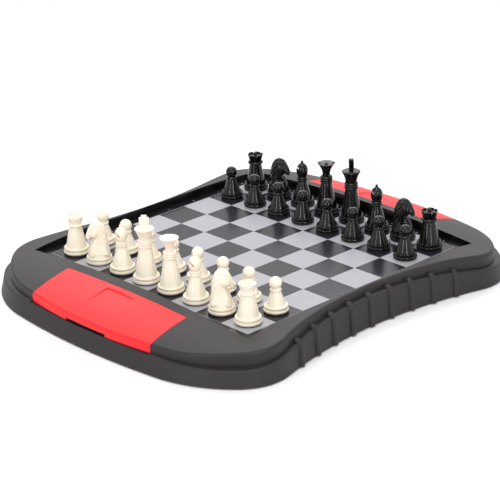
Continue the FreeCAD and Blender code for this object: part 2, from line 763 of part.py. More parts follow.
def chessmen():
    """Every figure at its place on the board, by node name."""
    forms = {
        "pawn": Part.Compound([pawn(), magnet(PAWN)]),
        "rook": Part.Compound([rook(), magnet(ROOK)]),
        "knight": Part.Compound([knight(), magnet(KNIGHT)]),
        "bishop": Part.Compound([bishop(), magnet(BISHOP)]),
        "queen": Part.Compound([queen(), magnet(QUEEN)]),
        "king": Part.Compound([king(), magnet(KING)]),
    }
    placed = {}
    outermost = (SQUARES - 1) / 2
    for colour, side in (("white", -1), ("black", 1)):
        for i, letter in enumerate("abcdefgh"):
            back = BACK_RANKS[colour][i]
            node = f"{colour}_{back}" if back in ("king", "queen") else f"{colour}_{back}_{letter}"
            for name, form, row in ((node, back, 0), (f"{colour}_pawn_{letter}", "pawn", 1)):
                copy = forms[form].copy()
                copy.rotate(Vector(0, 0, 0), Vector(0, 0, 1), TURNS.get(name, 0.0))
                place = Vector(i - outermost, side * (outermost - row), 0) * SQUARE
                copy.translate(place + Vector(0, 0, SURFACE_Z))
                placed[name] = copy
    return placed


os.makedirs("parts", exist_ok=True)
outside = body_shell(0.0, True)
lid = rear_lid()
nodes = {
    "upper_housing": upper_housing(outside),
    "rear_lid": lid,
    "front_lid": mirror_y(lid),
    "base_cover": base_cover(),
    "cover_screws": cover_screws(),
    "rubber_feet": rubber_feet(),
    "steel_sheet": sheet(FLOOR_Z, FLOOR_Z + STEEL_T),
    "playing_board": sheet(FLOOR_Z + STEEL_T, SURFACE_Z),
}
nodes.update(chessmen())
for node_name, shape in nodes.items():
    shape.exportStep(f"parts/{node_name}.step")
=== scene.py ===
import math

import bmesh
import bpy
import numpy as np
from mathutils import Matrix, Vector


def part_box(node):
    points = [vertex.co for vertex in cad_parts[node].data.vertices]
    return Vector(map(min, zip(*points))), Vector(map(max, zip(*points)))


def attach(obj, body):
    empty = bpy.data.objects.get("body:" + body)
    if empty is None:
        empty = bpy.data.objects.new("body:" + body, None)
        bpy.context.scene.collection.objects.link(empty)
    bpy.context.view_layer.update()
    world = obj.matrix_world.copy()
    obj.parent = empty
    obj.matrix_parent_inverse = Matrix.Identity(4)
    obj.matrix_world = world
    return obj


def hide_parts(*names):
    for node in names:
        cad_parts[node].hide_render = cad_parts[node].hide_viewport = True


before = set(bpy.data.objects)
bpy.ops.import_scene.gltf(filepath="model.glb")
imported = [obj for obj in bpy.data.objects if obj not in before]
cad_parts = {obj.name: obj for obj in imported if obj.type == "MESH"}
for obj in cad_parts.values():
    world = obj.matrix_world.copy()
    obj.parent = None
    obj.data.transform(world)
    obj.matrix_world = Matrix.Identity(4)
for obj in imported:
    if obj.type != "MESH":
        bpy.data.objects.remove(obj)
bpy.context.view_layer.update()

# Upper housing: the tray that carries everything, one injection moulding in charcoal ABS with the crowned
# deck, the board recess, the ledge, the grip ribs and the wells under the lids. Its mould was spark-eroded,
# which leaves a fine dull grain, and only the walls of the recess were polished.
MM = 0.001
RECESS_HALF = 113.05 * MM
ABS_GRAIN = 0.9 * MM
ABS_CLOUD = 35.0 * MM


def linear(hex_colour):
    """sRGB hex value as linear light."""
    parts = [int(hex_colour[i:i + 2], 16) / 255 for i in (1, 3, 5)]
    return tuple(p / 12.92 if p <= 0.04045 else ((p + 0.055) / 1.055) ** 2.4 for p in parts) + (1.0,)


def add(tree, kind, settings=None, links=None):
    """Adds one node: settings go to its properties or sockets, links join its sockets to outputs."""
    node = tree.nodes.new(kind)
    for key, value in (settings or {}).items():
        if isinstance(key, str) and key not in node.inputs:
            setattr(node, key, value)
        else:
            node.inputs[key].default_value = value
    for key, output in (links or {}).items():
        tree.links.new(output, node.inputs[key])
    return node


def start_material(name, **settings):
    """New material with its shader's sockets set; gives it, its tree, the shader and object coordinates."""
    material = bpy.data.materials.new(name)
    material.use_nodes = True
    tree = material.node_tree
    shader = tree.nodes["Principled BSDF"]
    for key, value in settings.items():
        shader.inputs[key.replace("_", " ")].default_value = value
    return material, tree, shader, add(tree, "ShaderNodeTexCoord").outputs["Object"]


def dress(node, material):
    """Gives a carried-over node its material."""
    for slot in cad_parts[node].material_slots:
        slot.material = material


# Moulded ABS with a spark-eroded grain: dull, even charcoal that greys where it is seen at a low angle.
# The real grain of about 0.3 mm is too fine for the render, so it is drawn at 0.9 mm.
charcoal_abs, tree, shader, place = start_material("charcoal_abs_grained_recess_shaded", IOR=1.54, Specular_IOR_Level=0.38)
grain = add(tree, "ShaderNodeTexNoise", {"Scale": 1 / ABS_GRAIN, "Detail": 2.0}, {"Vector": place})
cloud = add(tree, "ShaderNodeTexNoise", {"Scale": 1 / ABS_CLOUD, "Detail": 3.0}, {"Vector": place})
tone = add(tree, "ShaderNodeMix", {"data_type": "RGBA", 6: linear("#1d1719"), 7: linear("#272123")},
           {0: cloud.outputs["Fac"]})
axes = add(tree, "ShaderNodeSeparateXYZ", None, {0: place})
away_x = add(tree, "ShaderNodeMath", {"operation": "ABSOLUTE"}, {0: axes.outputs["X"]})
away_y = add(tree, "ShaderNodeMath", {"operation": "ABSOLUTE"}, {0: axes.outputs["Y"]})
away = add(tree, "ShaderNodeMath", {"operation": "MAXIMUM"}, {0: away_x.outputs[0], 1: away_y.outputs[0]})
# Painted shade: inside the board recess the charcoal is painted near-black, with a low roughness for the
# polished walls.
recess_shade = add(tree, "ShaderNodeMath", {"operation": "LESS_THAN", 1: RECESS_HALF}, {0: away.outputs[0]})
colour = add(tree, "ShaderNodeMix", {"data_type": "RGBA", 7: linear("#0c0c0d")},
             {0: recess_shade.outputs[0], 6: tone.outputs[2]})
dull = add(tree, "ShaderNodeMapRange", {"To Min": 0.46, "To Max": 0.62}, {"Value": grain.outputs["Fac"]})
rough = add(tree, "ShaderNodeMix", {3: 0.22}, {0: recess_shade.outputs[0], 2: dull.outputs["Result"]})
bump = add(tree, "ShaderNodeBump", {"Strength": 0.35, "Distance": 0.05 * MM},
           {"Height": grain.outputs["Fac"]})
tree.links.new(colour.outputs[2], shader.inputs["Base Color"])
tree.links.new(rough.outputs[0], shader.inputs["Roughness"])
tree.links.new(bump.outputs["Normal"], shader.inputs["Normal"])
dress("upper_housing", charcoal_abs)

# Base cover: the flat ABS plate that closes the tray from below, from the same batch as the housing. It is
# held by screws in the housing's bosses and carries the four feet.
dress("base_cover", charcoal_abs)

# Cover screws: eight small zinc-plated steel screws with flat pan heads and a cross recess. Cold-headed and
# thread-rolled; they are driven up through the cover into the bosses.
SCREW_REACH = 93.0 * MM
HEAD_RADIUS = 2.9 * MM
HEAD_HEIGHT = 1.4 * MM
SHANK_RADIUS = 1.45 * MM
SCREW_LENGTH = 12.0 * MM
SCREW_LOW = 1.6 * MM
CROSS_WIDTH = 0.7 * MM
CROSS_REACH = 1.3
HEAD_SIDES = 40
SHANK_SIDES = 24
PLATING_CLOUD = 1.2 * MM


def plain_mesh(name, vertices, faces, smooth_angle=None):
    """Object at the origin from points and faces, smooth below an angle in degrees if one is given."""
    mesh = bpy.data.meshes.new(name)
    mesh.from_pydata([tuple(v) for v in vertices], [], [tuple(f) for f in faces])
    piece = bpy.data.objects.new(name, mesh)
    bpy.context.scene.collection.objects.link(piece)
    if smooth_angle is not None:
        mesh.shade_smooth()
        mesh.set_sharp_from_angle(angle=math.radians(smooth_angle))
    return piece


def kept(piece):
    """Keeps the result of a piece's modifiers as a plain mesh."""
    bpy.context.view_layer.update()
    evaluated = piece.evaluated_get(bpy.context.evaluated_depsgraph_get())
    mesh = bpy.data.meshes.new_from_object(evaluated)
    piece.modifiers.clear()
    piece.data = mesh
    return piece


def grown(piece, group, sizes):
    """Runs a geometry tree on a piece with its sizes, and keeps the result as a plain mesh."""
    modifier = piece.modifiers.new(group.name, "NODES")
    modifier.node_group = group
    for item in group.interface.items_tree:
        if item.item_type == "SOCKET" and item.in_out == "INPUT" and item.name in sizes:
            modifier[item.identifier] = sizes[item.name]
    return kept(piece)


def start_tree(name, sizes):
    """New geometry tree with one named length for each size; gives it, its input and its output."""
    tree = bpy.data.node_groups.new(name, "GeometryNodeTree")
    tree.interface.new_socket("Geometry", in_out="INPUT", socket_type="NodeSocketGeometry")
    for size in sizes:
        tree.interface.new_socket(size, in_out="INPUT", socket_type="NodeSocketFloat")
    tree.interface.new_socket("Geometry", in_out="OUTPUT", socket_type="NodeSocketGeometry")
    return tree, add(tree, "NodeGroupInput").outputs, add(tree, "NodeGroupOutput")


# Zinc-plated steel: a grey metal sheen, a little cloudy from the plating bath.
zinc_steel, tree, shader, place = start_material("zinc_plated_steel", Metallic=1.0)
bath = add(tree, "ShaderNodeTexNoise", {"Scale": 1 / PLATING_CLOUD, "Detail": 2.0}, {"Vector": place})
plate = add(tree, "ShaderNodeMix", {"data_type": "RGBA", 6: linear("#8d8e90"), 7: linear("#a5a5a3")},
            {0: bath.outputs["Fac"]})
haze = add(tree, "ShaderNodeMapRange", {"To Min": 0.25, "To Max": 0.4}, {"Value": bath.outputs["Fac"]})
tree.links.new(plate.outputs[2], shader.inputs["Base Color"])
tree.links.new(haze.outputs["Result"], shader.inputs["Roughness"])

screw_sizes = {
    "Head radius": HEAD_RADIUS,
    "Head height": HEAD_HEIGHT,
    "Shank radius": SHANK_RADIUS,
    "Shank length": SCREW_LENGTH - HEAD_HEIGHT,
    "Cross width": CROSS_WIDTH,
}
tree, size, out = start_tree("pan_head_screw", screw_sizes)
head = add(tree, "GeometryNodeMeshCylinder", {"Vertices": HEAD_SIDES},
           {"Radius": size["Head radius"], "Depth": size["Head height"]})
half = add(tree, "ShaderNodeMath", {"operation": "MULTIPLY", 1: 0.5}, {0: size["Head height"]})
lift = add(tree, "ShaderNodeCombineXYZ", None, {"Z": half.outputs[0]})
head = add(tree, "GeometryNodeTransform", None,
           {"Geometry": head.outputs["Mesh"], "Translation": lift.outputs[0]})
shank = add(tree, "GeometryNodeMeshCylinder", {"Vertices": SHANK_SIDES},
            {"Radius": size["Shank radius"], "Depth": size["Shank length"]})
half = add(tree, "ShaderNodeMath", {"operation": "MULTIPLY", 1: 0.5}, {0: size["Shank length"]})
low = add(tree, "ShaderNodeMath", {"operation": "ADD"}, {0: half.outputs[0], 1: size["Head height"]})
lift = add(tree, "ShaderNodeCombineXYZ", None, {"Z": low.outputs[0]})
shank = add(tree, "GeometryNodeTransform", None,
            {"Geometry": shank.outputs["Mesh"], "Translation": lift.outputs[0]})
long = add(tree, "ShaderNodeMath", {"operation": "MULTIPLY", 1: CROSS_REACH}, {0: size["Head radius"]})
arms = []
for run, across in (("X", "Y"), ("Y", "X")):
    bar = add(tree, "ShaderNodeCombineXYZ", None,
              {run: long.outputs[0], across: size["Cross width"], "Z": size["Head height"]})
    arms.append(add(tree, "GeometryNodeMeshCube", None, {"Size": bar.outputs[0]}))
slotted = add(tree, "GeometryNodeMeshBoolean", {"operation": "DIFFERENCE", "solver": "EXACT"},
              {"Mesh 1": head.outputs["Geometry"]})
for arm in arms:
    tree.links.new(arm.outputs["Mesh"], slotted.inputs["Mesh 2"])
screw = add(tree, "GeometryNodeJoinGeometry")
tree.links.new(slotted.outputs["Mesh"], screw.inputs[0])
tree.links.new(shank.outputs["Geometry"], screw.inputs[0])
spread = add(tree, "GeometryNodeInstanceOnPoints", None,
             {"Points": size["Geometry"], "Instance": screw.outputs[0]})
real = add(tree, "GeometryNodeRealizeInstances", None, {0: spread.outputs[0]})
coat = add(tree, "GeometryNodeSetMaterial", {"Material": zinc_steel}, {0: real.outputs[0]})
tree.links.new(coat.outputs[0], out.inputs[0])
steps = (-SCREW_REACH, 0.0, SCREW_REACH)
places = [(x, y, SCREW_LOW) for x in steps for y in steps if (x, y) != (0, 0)]
screws = grown(plain_mesh("cover_screws_pan_head", places, []), tree, screw_sizes)
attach(screws, "tray")
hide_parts("cover_screws")

# Rubber feet: four round feet moulded in black rubber, pressed into seats in the cover. They lift the tray
# clear of the table and keep it from sliding.
RUBBER_BLOOM = 2.5 * MM

# Moulded rubber: a dull black with a faint grey bloom.
foot_rubber, tree, shader, place = start_material("moulded_black_rubber", IOR=1.52, Roughness=0.75)
bloom = add(tree, "ShaderNodeTexNoise", {"Scale": 1 / RUBBER_BLOOM, "Detail": 4.0}, {"Vector": place})
colour = add(tree, "ShaderNodeMix", {"data_type": "RGBA", 6: linear("#1c1c1c"), 7: linear("#2a2a2b")},
             {0: bloom.outputs["Fac"]})
bump = add(tree, "ShaderNodeBump", {"Strength": 0.3, "Distance": 0.05 * MM}, {"Height": bloom.outputs["Fac"]})
tree.links.new(colour.outputs[2], shader.inputs["Base Color"])
tree.links.new(bump.outputs["Normal"], shader.inputs["Normal"])
dress("rubber_feet", foot_rubber)

# Steel sheet: thin cold-rolled steel laid on the floor of the recess under the print, for the magnets in
# the figures to hold to.
ROLLED_ACROSS = 0.4 * MM
ROLLED_ALONG = 25.0 * MM

# Cold-rolled steel: a bright grey metal with long fine marks in the rolling direction.
rolled_steel, tree, shader, place = start_material("cold_rolled_steel", Metallic=1.0)
stretch = add(tree, "ShaderNodeMapping", {"Scale": (1 / ROLLED_ACROSS, 1 / ROLLED_ALONG, 1.0)},
              {"Vector": place})
rolling = add(tree, "ShaderNodeTexNoise", {"Scale": 1.0, "Detail": 2.0},
              {"Vector": stretch.outputs["Vector"]})
colour = add(tree, "ShaderNodeMix", {"data_type": "RGBA", 6: linear("#9fa1a3"), 7: linear("#b4b5b6")},
             {0: rolling.outputs["Fac"]})
sheen = add(tree, "ShaderNodeMapRange", {"To Min": 0.3, "To Max": 0.45}, {"Value": rolling.outputs["Fac"]})
tree.links.new(colour.outputs[2], shader.inputs["Base Color"])
tree.links.new(sheen.outputs["Result"], shader.inputs["Roughness"])
dress("steel_sheet", rolled_steel)

# Playing board: a glossy vinyl film glued over the steel. It is printed with silver first and dark squares
# over it, a little small, so thin silver lines stay between squares that meet at a corner. The gap and the
# edge of the silver are counted in squares.
SQUARE = 26.0 * MM
PRINT_GAP = 0.005
SILVER_EDGE = 4.006
INK_FLECK = 0.7 * MM
FILM_RIPPLE = 14.0 * MM

# Screen-printed vinyl: dull silver ink beside smooth dark ink that mirrors the figures a little.
printed_vinyl, tree, shader, place = start_material("screen_printed_vinyl", IOR=1.5, Specular_IOR_Level=0.2)
axes = add(tree, "ShaderNodeSeparateXYZ", None, {0: place})
cells, middles, aways = [], [], []
for axis in ("X", "Y"):
    file = add(tree, "ShaderNodeMath", {"operation": "DIVIDE", 1: SQUARE}, {0: axes.outputs[axis]}).outputs[0]
    cells.append(add(tree, "ShaderNodeMath", {"operation": "FLOOR"}, {0: file}).outputs[0])
    part = add(tree, "ShaderNodeMath", {"operation": "FRACT"}, {0: file}).outputs[0]
    off = add(tree, "ShaderNodeMath", {"operation": "SUBTRACT", 1: 0.5}, {0: part}).outputs[0]
    middles.append(add(tree, "ShaderNodeMath", {"operation": "ABSOLUTE"}, {0: off}).outputs[0])
    aways.append(add(tree, "ShaderNodeMath", {"operation": "ABSOLUTE"}, {0: file}).outputs[0])
both = add(tree, "ShaderNodeMath", {"operation": "ADD"}, {0: cells[0], 1: cells[1]}).outputs[0]
light = add(tree, "ShaderNodeMath", {"operation": "FLOORED_MODULO", 1: 2.0}, {0: both}).outputs[0]
middle = add(tree, "ShaderNodeMath", {"operation": "MAXIMUM"}, {0: middles[0], 1: middles[1]}).outputs[0]
away = add(tree, "ShaderNodeMath", {"operation": "MAXIMUM"}, {0: aways[0], 1: aways[1]}).outputs[0]
inked = add(tree, "ShaderNodeMath", {"operation": "LESS_THAN", 1: 0.5 - PRINT_GAP}, {0: middle}).outputs[0]
dark = add(tree, "ShaderNodeMath", {"operation": "SUBTRACT", "use_clamp": True},
           {0: inked, 1: light}).outputs[0]
border = add(tree, "ShaderNodeMath", {"operation": "GREATER_THAN", 1: SILVER_EDGE}, {0: away}).outputs[0]
fleck = add(tree, "ShaderNodeTexNoise", {"Scale": 1 / INK_FLECK, "Detail": 2.0}, {"Vector": place})
silver = add(tree, "ShaderNodeMix", {"data_type": "RGBA", 6: linear("#a3a2a8"), 7: linear("#afaeb4")},
             {0: fleck.outputs["Fac"]})
checks = add(tree, "ShaderNodeMix", {"data_type": "RGBA", 7: linear("#27252d")},
             {0: dark, 6: silver.outputs[2]})
colour = add(tree, "ShaderNodeMix", {"data_type": "RGBA", 7: linear("#141416")},
             {0: border, 6: checks.outputs[2]})
smooth = add(tree, "ShaderNodeMath", {"operation": "MAXIMUM"}, {0: dark, 1: border}).outputs[0]
rough = add(tree, "ShaderNodeMapRange", {"To Min": 0.4, "To Max": 0.2}, {"Value": smooth})
ripple = add(tree, "ShaderNodeTexNoise", {"Scale": 1 / FILM_RIPPLE, "Detail": 1.0}, {"Vector": place})
bump = add(tree, "ShaderNodeBump", {"Strength": 0.15, "Distance": 0.2 * MM},
           {"Height": ripple.outputs["Fac"]})
tree.links.new(colour.outputs[2], shader.inputs["Base Color"])
tree.links.new(rough.outputs["Result"], shader.inputs["Roughness"])
tree.links.new(bump.outputs["Normal"], shader.inputs["Normal"])
dress("playing_board", printed_vinyl)

# Board coordinates: the small file letters and rank numbers in the margin of the print, in silver ink on
# the black border. Each is a thin flat mark just over the film, placed in squares from the middle.
COORDINATE_SIZE = 2.4 * MM
COORDINATE_PLACE = 4.125
INK_LIFT = 0.03 * MM
MARK_FLECK = 0.3 * MM

# Silver screen ink: a flat pale grey with a faint metallic fleck.
silver_ink, tree, shader, place = start_material("silver_screen_ink", IOR=1.5, Roughness=0.42)
fleck = add(tree, "ShaderNodeTexNoise", {"Scale": 1 / MARK_FLECK, "Detail": 1.0}, {"Vector": place})
colour = add(tree, "ShaderNodeMix", {"data_type": "RGBA", 6: linear("#adacb1"), 7: linear("#c9c8cd")},
             {0: fleck.outputs["Fac"]})
tree.links.new(colour.outputs[2], shader.inputs["Base Color"])

marks = bmesh.new()
print_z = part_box("playing_board")[1].z + INK_LIFT
for row in range(8):
    step = (row - 3.5) * SQUARE
    edge = COORDINATE_PLACE * SQUARE
    for sign in (-1, 1):
        for text, x, y in (("abcdefgh"[row], step, sign * edge), ("12345678"[row], sign * edge, step)):
            font = bpy.data.curves.new("mark", "FONT")
            font.body = text
            font.size = COORDINATE_SIZE
            font.align_x = "CENTER"
            font.align_y = "CENTER"
            font.resolution_u = 3
            letter = bpy.data.objects.new("mark", font)
            flat = bpy.data.meshes.new_from_object(letter)
            flat.transform(Matrix.Translation((x, y, print_z)))
            marks.from_mesh(flat)
            bpy.data.objects.remove(letter)
            bpy.data.meshes.remove(flat)
coordinates = plain_mesh("board_coordinates", [], [])
marks.to_mesh(coordinates.data)
marks.free()
coordinates.data.materials.append(silver_ink)
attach(coordinates, "tray")

# Storage lids: two curved lids in coral-red ABS, one over the well at each end. Each has a front skirt with
# a finger notch, a shallow thumb ramp, and moulded pins that snap into the housing.
RED_CLOUD = 25.0 * MM

# Self-coloured red ABS, finely grained: saturated and even, with a soft pale sheen at a low angle.
red_abs, tree, shader, place = start_material("red_abs_grained", IOR=1.54, Specular_IOR_Level=0.32)
grain = add(tree, "ShaderNodeTexNoise", {"Scale": 1 / ABS_GRAIN, "Detail": 2.0}, {"Vector": place})
cloud = add(tree, "ShaderNodeTexNoise", {"Scale": 1 / RED_CLOUD, "Detail": 3.0}, {"Vector": place})
colour = add(tree, "ShaderNodeMix", {"data_type": "RGBA", 6: linear("#ec191f"), 7: linear("#f42026")},
             {0: cloud.outputs["Fac"]})
dull = add(tree, "ShaderNodeMapRange", {"To Min": 0.42, "To Max": 0.55}, {"Value": grain.outputs["Fac"]})
bump = add(tree, "ShaderNodeBump", {"Strength": 0.25, "Distance": 0.04 * MM},
           {"Height": grain.outputs["Fac"]})
tree.links.new(colour.outputs[2], shader.inputs["Base Color"])
tree.links.new(dull.outputs["Result"], shader.inputs["Roughness"])
tree.links.new(bump.outputs["Normal"], shader.inputs["Normal"])
dress("front_lid", red_abs)
dress("rear_lid", red_abs)

# Turned chessmen: the ivory and black pawns, rooks, bishops, queens and kings, moulded in glossy polystyrene.
# A dark magnet disc set in each foot holds the figure to the steel and shows as a thin line above the board.
# The half sections are in millimetres from the underside of the magnet.
MAGNET_TOP = 23.8 * MM
MAGNET_HIGH = 0.8
MAGNET_INSET = 0.7
RING_BULGE = 0.5
LOWER_RING_TOP = 2.9
UPPER_RING = (3.4, 5.4)
GROOVE_EDGE = 0.05
FOOT_STEP = 0.9
CONE_LEDGE = 1.0
CONE_FOOT = 5.3
COLLAR_PITCH = 1.8
COLLAR_BULGE = 0.6
COLLAR_GAP = 0.02
CROSS_BAR = 3.8
CROSS_SPAN = 6.8
CROSS_MIDDLE = 6.05
CROSS_TOP = 9.6
SLIT_SIZE = (8.0, 12.0, 1.1)
SLIT_PLACE = (3.43, 7.43)
SLIT_TILT = -45.0
NOTCH_EVERY = 60
NOTCH_HALF = 9
NOTCH_DEPTH = 0.8
SHARP_ANGLE = 38
FLOW_MARKS = 9.0 * MM
MAGNET_ROUGHNESS = 0.6
FIGURE_TURNS = {
    "white_bishop_c": 227.0,
    "white_bishop_f": 227.0,
    "white_king": 47.0,
    "black_bishop_c": 255.0,
    "black_bishop_f": 227.0,
    "black_king": -43.0,
}
figure_finishes = {}
for side, name, pale, deep, shine, mirror in (
    ("white", "ivory_polystyrene", "#f8f0de", "#f4e8d3", (0.28, 0.36), 0.5),
    ("black", "black_polystyrene", "#0c0a0b", "#121011", (0.05, 0.09), 0.36),
):
    # Glossy polystyrene straight from a polished mould: clear highlights over a colour with faint flow marks.
    finish, tree, shader, place = start_material(name, IOR=1.5, Specular_IOR_Level=mirror)
    flow = add(tree, "ShaderNodeTexNoise", {"Scale": 1 / FLOW_MARKS, "Detail": 3.0}, {"Vector": place})
    colour = add(tree, "ShaderNodeMix", {"data_type": "RGBA", 6: linear(deep), 7: linear(pale)},
                 {0: flow.outputs["Fac"]})
    axes = add(tree, "ShaderNodeSeparateXYZ", None, {0: place})
    height = axes.outputs["Z"]
    disc = add(tree, "ShaderNodeMath", {"operation": "LESS_THAN", 1: MAGNET_TOP}, {0: height}).outputs[0]
    shown = add(tree, "ShaderNodeMix", {"data_type": "RGBA", 7: linear("#26221e")},
                {0: disc, 6: colour.outputs[2]})
    gloss = add(tree, "ShaderNodeMapRange", {"To Min": shine[0], "To Max": shine[1]},
                {"Value": flow.outputs["Fac"]})
    rough = add(tree, "ShaderNodeMix", {3: MAGNET_ROUGHNESS}, {0: disc, 2: gloss.outputs["Result"]})
    tree.links.new(shown.outputs[2], shader.inputs["Base Color"])
    tree.links.new(rough.outputs[0], shader.inputs["Roughness"])
    figure_finishes[side] = finish


def turned(profile, segments=72):
    """Points and faces of a turned solid from its half section, which starts and ends on the axis."""
    angles = [2 * math.pi * i / segments for i in range(segments)]
    points = [(0, 0, profile[0][1]), (0, 0, profile[-1][1])]
    faces = []
    rings = profile[1:-1]
    for r, z in rings:
        points += [(r * math.cos(a), r * math.sin(a), z) for a in angles]
    for i in range(segments):
        j = (i + 1) % segments
        faces.append((0, 2 + j, 2 + i))
        for k in range(len(rings) - 1):
            low = 2 + k * segments
            faces.append((low + i, low + j, low + segments + j, low + segments + i))
        last = 2 + (len(rings) - 1) * segments
        faces.append((1, last + i, last + j))
    return np.array(points, float), faces


def smooth_line(points, between=8):
    """Points of a smooth open line through the given ones."""
    run = [points[0], *points, points[-1]]
    line = []
    for a, b, c, d in zip(run, run[1:], run[2:], run[3:]):
        a, b, c, d = (np.array(q, float) for q in (a, b, c, d))
        for t in np.arange(between) / between:
            line.append(0.5 * (2 * b + (c - a) * t + (2 * a - 5 * b + 4 * c - d) * t ** 2
                               + (3 * b - a - 3 * c + d) * t ** 3))
    return np.array(line + [np.array(points[-1], float)])


def bulge(low, high, out, steps=6):
    """Points of a rounded flank between two points of a half section."""
    line = []
    for t in np.linspace(0, 1, steps + 1):
        r, z = (a + (b - a) * t for a, b in zip(low, high))
        line.append((r + 4 * out * t * (1 - t), z))
    return line


def ball(radius, middle, start):
    """Half section of a ball, from the radius where it leaves its neck up to its top."""
    angles = np.linspace(-math.acos(start / radius), math.pi / 2, 14)
    return [(radius * math.cos(a), middle + radius * math.sin(a)) for a in angles]


def stem(base, neck, neck_z, collar, collars):
    """Half section of a figure from its magnet to the top of its collar rings, and the height reached."""
    waist = base - FOOT_STEP
    ring, flank = base - RING_BULGE, collar - COLLAR_BULGE
    low, high = UPPER_RING
    line = [(0, 0), (base - MAGNET_INSET, 0), (base - MAGNET_INSET, MAGNET_HIGH)]
    line += bulge((ring, MAGNET_HIGH), (ring, LOWER_RING_TOP), RING_BULGE)
    line += [(waist, LOWER_RING_TOP + GROOVE_EDGE), (waist, low - GROOVE_EDGE)]
    line += bulge((waist, low), (waist, high), RING_BULGE)
    line += [(waist - CONE_LEDGE, CONE_FOOT), (neck, neck_z)]
    for i in range(collars):
        z = neck_z + i * COLLAR_PITCH
        line += bulge((flank, z + COLLAR_GAP), (flank, z + COLLAR_PITCH), COLLAR_BULGE)
    return line, neck_z + collars * COLLAR_PITCH


def block(size, middle, tilt=0.0):
    """Points and faces of a box, tilted about Y by an angle in degrees."""
    corners = [(x, y, z) for x in (-0.5, 0.5) for y in (-0.5, 0.5) for z in (-0.5, 0.5)]
    turn = np.array(Matrix.Rotation(math.radians(tilt), 3, "Y"))
    faces = [(0, 1, 3, 2), (4, 6, 7, 5), (0, 4, 5, 1), (2, 3, 7, 6), (0, 2, 6, 4), (1, 5, 7, 3)]
    return np.array(corners) * size @ turn.T + np.array(middle), faces


def prism(outline, thick):
    """Points and faces of a flat outline in XZ, given the thickness along Y."""
    count = len(outline)
    points = [(x, y, z) for y in (-thick / 2, thick / 2) for x, z in outline]
    faces = [tuple(range(count)), tuple(range(2 * count - 1, count - 1, -1))]
    for i in range(count):
        j = (i + 1) % count
        faces.append((j, i, i + count, j + count))
    return np.array(points), faces


def joined(*solids):
    """Points and faces of several solids as one."""
    points, faces = [], []
    for more, rings in solids:
        offset = sum(len(p) for p in points)
        points.append(more)
        faces += [tuple(i + offset for i in f) for f in rings]
    return np.vstack(points), faces


forms = {}
line, z = stem(base=8.8, neck=3.35, neck_z=15.3, collar=4.1, collars=1)
forms["pawn"] = turned(line + [(3.2, z)] + ball(4.4, z + 3.92, 3.2))

line, z = stem(base=9.6, neck=4.5, neck_z=21.4, collar=6.0, collars=1)
rim = z + 5.8
line += [(4.6, z), (5.85, rim - 1.0), (6.0, rim), (5.0, rim), (5.0, rim - 1.0), (1.25, rim - 1.1)]
points, faces = turned(line + ball(1.25, rim + 0.2, 1.25))
angle = np.degrees(np.arctan2(points[:, 1], points[:, 0])) % NOTCH_EVERY
on_rim = (np.abs(points[:, 2] - rim) < 0.01) & (np.hypot(points[:, 0], points[:, 1]) > 4)
points[on_rim & (np.abs(angle - NOTCH_EVERY / 2) < NOTCH_HALF), 2] -= NOTCH_DEPTH
forms["rook"] = points, faces

line, mitre = stem(base=9.5, neck=3.2, neck_z=19.4, collar=4.1, collars=2)
swell = ((3.2, mitre), (4.2, mitre + 2.6), (4.5, mitre + 5.4), (4.0, mitre + 7.8), (2.9, mitre + 9.6))
line += [tuple(q) for q in smooth_line(swell, 5)]
forms["bishop"] = turned(line + ball(1.1, mitre + 11.95, 0.8))

line, z = stem(base=9.8, neck=4.1, neck_z=24.6, collar=4.8, collars=3)
rim = z + 10.2
line += bulge((3.0, z), (6.8, rim), -1.3, 10) + [(5.9, rim), (1.1, rim - 1.2)]
forms["queen"] = turned(line + ball(1.1, rim - 0.85, 1.1))

line, z = stem(base=9.9, neck=4.4, neck_z=26.0, collar=5.2, collars=3)
rim = z + 8.4
line += bulge((4.3, z), (7.1, rim), -0.6, 10)
line += bulge((6.9, rim + 0.4), (2.4, rim + 2.0), 0.5) + [(0, rim + 2.0)]
post, arm = CROSS_BAR / 2, CROSS_SPAN / 2
low, high = rim + CROSS_MIDDLE - post, rim + CROSS_MIDDLE + post
cross = [(post, rim + 1.0), (post, low), (arm, low), (arm, high), (post, high), (post, rim + CROSS_TOP)]
cross += [(-x, z) for x, z in reversed(cross)]
forms["king"] = joined(turned(line), prism(cross, CROSS_BAR))

for node in list(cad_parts):
    side, kind = node.split("_")[:2]
    if kind not in forms:
        continue
    points, faces = forms[kind]
    figure = plain_mesh(node + "_turned", points, faces)
    if kind == "bishop":
        out, up = SLIT_PLACE
        slit = plain_mesh("slit", *block(SLIT_SIZE, (out, 0, mitre + up), SLIT_TILT))
        cut = figure.modifiers.new("slit", "BOOLEAN")
        cut.object = slit
        cut.solver = "EXACT"
        kept(figure)
        bpy.data.objects.remove(slit)
    low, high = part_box(node)
    spot = Matrix.Translation(((low.x + high.x) / 2, (low.y + high.y) / 2, low.z))
    turn = Matrix.Rotation(math.radians(FIGURE_TURNS.get(node, 0.0)), 4, "Z")
    figure.data.transform(spot @ turn @ Matrix.Scale(MM, 4))
    figure.data.shade_smooth()
    figure.data.set_sharp_from_angle(angle=math.radians(SHARP_ANGLE))
    figure.data.materials.append(figure_finishes[side])
    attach(figure, node)
    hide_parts(node)

